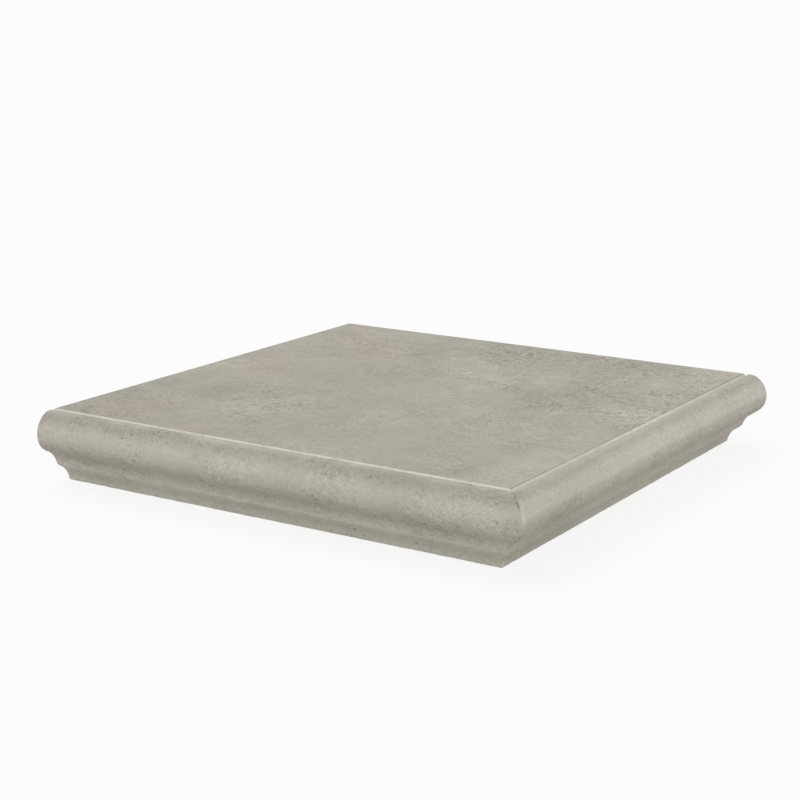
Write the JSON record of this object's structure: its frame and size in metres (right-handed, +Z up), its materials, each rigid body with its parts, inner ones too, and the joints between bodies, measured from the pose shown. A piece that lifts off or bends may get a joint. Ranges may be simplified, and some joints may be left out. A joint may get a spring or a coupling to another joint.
{
  "type": "corner stair tread tile",
  "caption": "Square ceramic tread for the outer corner of a stair: a level plate with a moulded, mitred nosing along adjoining edges, straight cut sides and a keyed underside.",
  "frame": {"origin": "under the middle of the square outline, at the level of the nosing's foot", "axes": "+Z up through the tread face, -Y towards the front nosing, +X towards the right nosing"},
  "size_m": [0.33, 0.33, 0.047],
  "materials": {
    "stoneware": "matt grey-beige cement look"
  },
  "bodies": {
    "root": {"corner_tread": "stoneware"}
  },
  "joints": []
}
